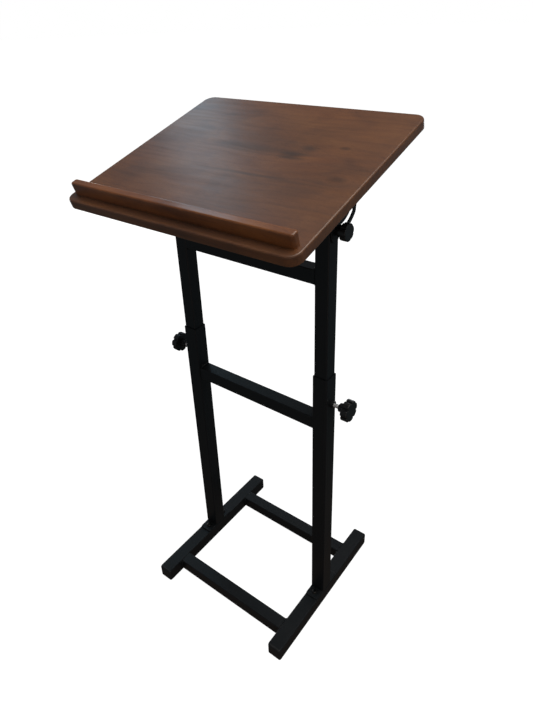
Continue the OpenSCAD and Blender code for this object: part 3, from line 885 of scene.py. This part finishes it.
# %% Cut the threads
def threaded_stud(node_name, pitch=1.25 * mm, radius=3.98 * mm, depth=0.65 * mm):
    low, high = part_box(node_name)
    middle = (low + high) / 2
    turns = math.floor((high.x - low.x) / pitch) - 1
    select_nothing()
    bpy.ops.mesh.primitive_plane_add(size=1)
    piece = bpy.context.object
    bpy.ops.object.mode_set(mode="EDIT")
    bpy.ops.mesh.select_all(action="SELECT")
    bpy.ops.mesh.delete(type="ONLY_FACE")
    shape = bmesh.from_edit_mesh(piece.data)
    shape.clear()
    # One pitch of the outline: root, flank, crest, flank and the next root
    points = [(0.0, radius - depth), (0.12, radius - depth), (0.46, radius),
              (0.66, radius), (1.0, radius - depth)]
    corners = [shape.verts.new((along * pitch, 0, out)) for along, out in points]
    for a, b in zip(corners, corners[1:]):
        shape.edges.new((a, b))
    bmesh.update_edit_mesh(piece.data)
    bpy.ops.object.mode_set(mode="OBJECT")
    apply_modifier(piece, "SCREW", axis="X", angle=math.tau, screw_offset=pitch,
                   iterations=turns, steps=28, render_steps=28, use_merge_vertices=True,
                   merge_threshold=0.01 * mm)
    bpy.ops.object.mode_set(mode="EDIT")
    bpy.ops.mesh.select_all(action="SELECT")
    bpy.ops.mesh.remove_doubles(threshold=0.01 * mm)
    bpy.ops.mesh.fill_holes(sides=0)
    face_outwards()
    length = max(v.co.x for v in piece.data.vertices) - min(v.co.x for v in piece.data.vertices)
    start = low.x + ((high.x - low.x) - length) / 2
    move_into_place(piece, Matrix.Translation((start, middle.y, middle.z)))
    smooth(piece, 25)
    return piece


for kind, body in (("height", "height_knob"), ("tilt", "tilt_knob")):
    for side in ("left", "right"):
        fit(threaded_stud(f"{kind}_stud_{side}"), f"{kind}_thread_{side}", bright_zinc, "zinc",
            f"{body}_{side[0]}", f"{kind}_stud_{side}")

# %% [markdown]
# ## Star knobs
# Each knob is a moulded star with seven broad lobes and narrow finger notches, on a round hub.
# A disc with sixteen vertices to a lobe is the start. The vertices of each notch are pulled in
# towards the axis, the crown of the face is raised in three steps and the sharp edges are
# bevelled. The hub is a slightly tapered cone, with shallow grooves on the height knobs, and is
# joined on by a boolean union.

# %% Mould a star knob
def star_knob(hub_radius, hub_length, head_radius, head_thick, notch, flute, lobes=7,
              per_lobe=16):
    """A knob on the X axis, its hub starting at the origin. notch and flute are how far the
    notches of the head and the grooves of the hub are pulled in, as a part of the radius."""
    crown = head_thick * 0.12
    head = rod(head_radius, (hub_length, 0, 0), (hub_length + head_thick - crown, 0, 0),
               lobes * per_lobe)

    def phase(vertex):
        return math.atan2(vertex.co.z, vertex.co.y) / math.tau * lobes % 1

    bpy.ops.object.mode_set(mode="EDIT")
    for half_width, share in ((0.20, 0.2), (0.07, 0.8)):
        pull = 1 - share * notch
        choose("VERT", lambda v: abs(phase(v) - 0.5) < half_width)
        bpy.ops.transform.resize(value=(1, pull, pull), center_override=(0, 0, 0))
    choose("FACE", lambda face: face.normal.x > 0.9)
    for shrink, rise in ((0.96, 0.70), (0.88, 0.20), (0.80, 0.10)):
        bpy.ops.mesh.extrude_region()
        bpy.ops.transform.resize(value=(1, shrink, shrink), center_override=(0, 0, 0))
        bpy.ops.transform.translate(value=(crown * rise, 0, 0))
    bpy.ops.mesh.select_mode(type="EDGE")
    bpy.ops.mesh.select_all(action="DESELECT")
    bpy.ops.mesh.edges_select_sharp(sharpness=math.radians(33))
    bevel(head_radius * 0.025, 3)
    bpy.ops.object.mode_set(mode="OBJECT")
    select_nothing()
    bpy.ops.mesh.primitive_cone_add(
        vertices=56, radius1=hub_radius * 0.94, radius2=hub_radius * 1.06,
        depth=hub_length + 2 * mm, location=((hub_length + 2 * mm) / 2, 0, 0),
        rotation=(0, math.pi / 2, 0))
    bpy.ops.object.transform_apply()
    hub = bpy.context.object
    bpy.ops.object.mode_set(mode="EDIT")
    choose("VERT", lambda v: abs(phase(v) - 0.5) < 0.2)
    bpy.ops.transform.resize(value=(1, 1 - flute, 1 - flute), center_override=(0, 0, 0))
    choose("FACE", lambda face: face.normal.x < -0.9)
    bevel(0.6 * mm, 2)
    bpy.ops.object.mode_set(mode="OBJECT")
    pick(head)
    apply_modifier(head, "BOOLEAN", operation="UNION", solver="MANIFOLD", object=hub)
    bpy.data.objects.remove(hub)
    smooth(head, 33)
    return head


knob_sizes = {  # hub radius, hub length, head radius and head thickness, in mm
    "height": (9, 12, 21, 14),
    "tilt": (10, 9, 15, 11),
}
groove_depths = {"height": (0.20, 0.14), "tilt": (0.10, 0.0)}   # of the head and of the hub
knob_turn = 0.2          # how far each star stands turned on its stud, in radians
for kind, sizes in knob_sizes.items():
    pattern = star_knob(*(size * mm for size in sizes), *groove_depths[kind])
    low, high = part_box(f"{kind}_knob_right")
    middle = (low + high) / 2
    for side, way in (("left", -1), ("right", 1)):
        place = Matrix.Translation((way * low.x, middle.y, middle.z))
        if way < 0:
            place = place @ Matrix.Rotation(math.pi, 4, "Z")
        place = place @ Matrix.Rotation(knob_turn, 4, "X")
        fit(copy_into_place(pattern, place), f"{kind}_star_{side}", knob_nylon,
            "plastic_black", f"{kind}_knob_{side[0]}", f"{kind}_knob_{side}")
    bpy.data.objects.remove(pattern)

# %% [markdown]
# ## Finishes on the pieces that stay as they are
# Washers, bolts, hidden nuts, glides and screws are already right in the engineering model.
# They only need their real finish.

# %% Finish the remaining nodes
left_as_is = (
    (bright_zinc, ("foot_rivet_nuts", "tilt_weld_nuts", "pivot_bolts", "pivot_washers",
                   "pivot_nuts", "arc_plate_screws", "book_stop_screws")),
    (plug_plastic, ("post_top_caps", "post_bottom_glides")),
    (screw_steel, ("tilt_washer_left", "tilt_washer_right")),
)
for finish, node_names in left_as_is:
    for node_name in node_names:
        materials = frame["nodes"][node_name].data.materials
        materials.clear()
        materials.append(finish)
shown = [name for name, piece in frame["nodes"].items() if not piece.hide_render]
print("nodes still shown:", sorted(shown))

# %% [markdown]
# ## Studio
# The lectern stands on a plain pale floor inside a pale dome. Both are only a background: they
# are kept out of the light on the object, because a glowing white room would grey the black
# steel. Most of the light comes from a soft panel overhead. A narrow window-like strip on the
# left and behind lays a cool diagonal sheen across the lacquer. Weaker panels at the front, back,
# left and right open the shadows, and a low warm one stands for light thrown back by the floor.
# A faint sky, warm underfoot, cool halfway down and white above, tints what the steel reflects.

# %% Floor, dome and sky
def pale_finish(name, shade, glow):
    finish, recipe, surface = new_finish(name)
    set_inputs(recipe, surface, {
        "Base Color": colour(shade), "Roughness": 0.9, "Specular IOR Level": 0.05,
        "Emission Color": colour("#ffffff"), "Emission Strength": glow})
    return finish


dome_radius = 30
select_nothing()
bpy.ops.mesh.primitive_circle_add(vertices=96, radius=dome_radius - 0.1, fill_type="NGON")
floor = bpy.context.object
floor.name = "studio_floor"
floor.data.materials.append(pale_finish("Pale studio floor", "#808080", 1.0))
select_nothing()
bpy.ops.mesh.primitive_uv_sphere_add(segments=64, ring_count=32, radius=dome_radius)
dome = bpy.context.object
dome.name = "studio_dome"
dome.data.materials.append(pale_finish("Pale studio dome", "#000000", 1.0))
for stage_piece in (floor, dome):
    stage_piece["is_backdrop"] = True
    stage_piece.visible_diffuse = False
    stage_piece.visible_glossy = False
    stage_piece.visible_transmission = False
dome.visible_shadow = False

sky = bpy.data.worlds.new("Even studio sky")
sky.use_nodes = True
bpy.context.scene.world = sky
towards = add_node(sky.node_tree, "TexCoord").outputs["Generated"]
height = add_node(sky.node_tree, "SeparateXYZ", {"Vector": towards}).outputs["Z"]
# From straight down, 0, to straight up, 1
level = add_node(sky.node_tree, "MapRange", {"Value": height, "From Min": -1.0})
shades = add_node(sky.node_tree, "ValToRGB", {"Fac": level})
bands = shades.color_ramp.elements
bands[0].position, bands[0].color = 0.04, colour("#c3ab98")
bands[1].position, bands[1].color = 0.40, colour("#f4f9ff")
for position, shade in ((0.12, "#c9ab96"), (0.21, "#7fa9b2")):
    bands.new(position).color = colour(shade)
set_inputs(sky.node_tree, sky.node_tree.nodes["Background"], {"Color": shades, "Strength": 0.14})


# %% Soft lights
def soft_light(name, place, aim, size, power, tint, along=(1, 0, 0)):
    """A rectangular panel at place that faces aim, with its long side along a direction."""
    select_nothing()
    bpy.ops.object.light_add(type="AREA")
    lamp = bpy.context.object
    lamp.name = name
    lamp.data.shape = "RECTANGLE"
    lamp.data.size, lamp.data.size_y = size
    lamp.data.energy = power
    lamp.data.color = colour(tint)[:3]
    back = (Vector(place) - Vector(aim)).normalized()
    up = back.cross(Vector(along)).normalized()
    side = up.cross(back)
    lamp.matrix_world = Matrix.Translation(place) @ Matrix((side, up, back)).transposed().to_4x4()
    return lamp


soft_light("overhead_panel", (0.52, 0.2, 2.75), (0, 0, 0.9), (1.7, 1.7), 27, "#fff8ee")
soft_light("window_strip", (-1.95, 1.22, 2.6), (0, 0, 0.98), (2.1, 0.36), 4.3, "#b1e5ff",
           along=(0.66, -0.75, 0))
soft_light("front_fill", (1.6, -1.7, 0.9), (0, 0, 0.3), (1.2, 1.2), 2.0, "#ffe6d4")
soft_light("floor_bounce", (0.7, -1.4, 0.15), (0.1, 0, 0.2), (1.4, 0.5), 1.3, "#ffd2bc")
soft_light("back_fill", (-0.7, 3.0, 0.4), (0, 0, 0.6), (2.2, 0.8), 10, "#f4f8ff")
soft_light("left_fill", (-3.0, 0.9, 0.6), (0, 0, 0.6), (2.2, 1.0), 20, "#fff4ea",
           along=(0, 1, 0))
soft_light("side_fill", (3.2, 0.3, 1.7), (0, 0, 0.7), (1.6, 2.2), 3.8, "#c8eefa",
           along=(0, 1, 0))

# %% [markdown]
# ## Camera
# The camera stands to the front right of the lectern at about eye height and looks down at it.
# Its angles are those of the view that the model was made for: turned by about 38 degrees, 28.5
# degrees down, with a roll of almost two degrees.

# %% Set the camera
eye = (0.61948, -0.73204, 1.23167)
turned, down, roll = 37.66, 28.55, -1.90
bpy.ops.object.camera_add(location=eye)
view = bpy.context.object
view.name = "studio_camera"
view.matrix_world = Matrix.Translation(view.location)
for angle, axis in ((turned, "Z"), (90 - down, "X"), (roll, "Z")):
    view.matrix_world = view.matrix_world @ Matrix.Rotation(math.radians(angle), 4, axis)
view.data.sensor_width = 36
view.data.lens = 28.81
view.data.shift_x = -0.0098
view.data.shift_y = -0.0632
view.data.clip_end = 1000
bpy.context.scene.camera = view
bpy.context.scene.view_settings.view_transform = "Standard"

# %% [markdown]
# ## The size of the made pieces
# The pieces that were made here must fill the same box as the engineering model. Both boxes are
# written out, so that they can be compared.

# %% Print the two boxes
made_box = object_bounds()
for label, corners in (("CAD", cad_box), ("made", made_box)):
    print(label, "box:", [[round(float(v), 4) for v in corner] for corner in corners])
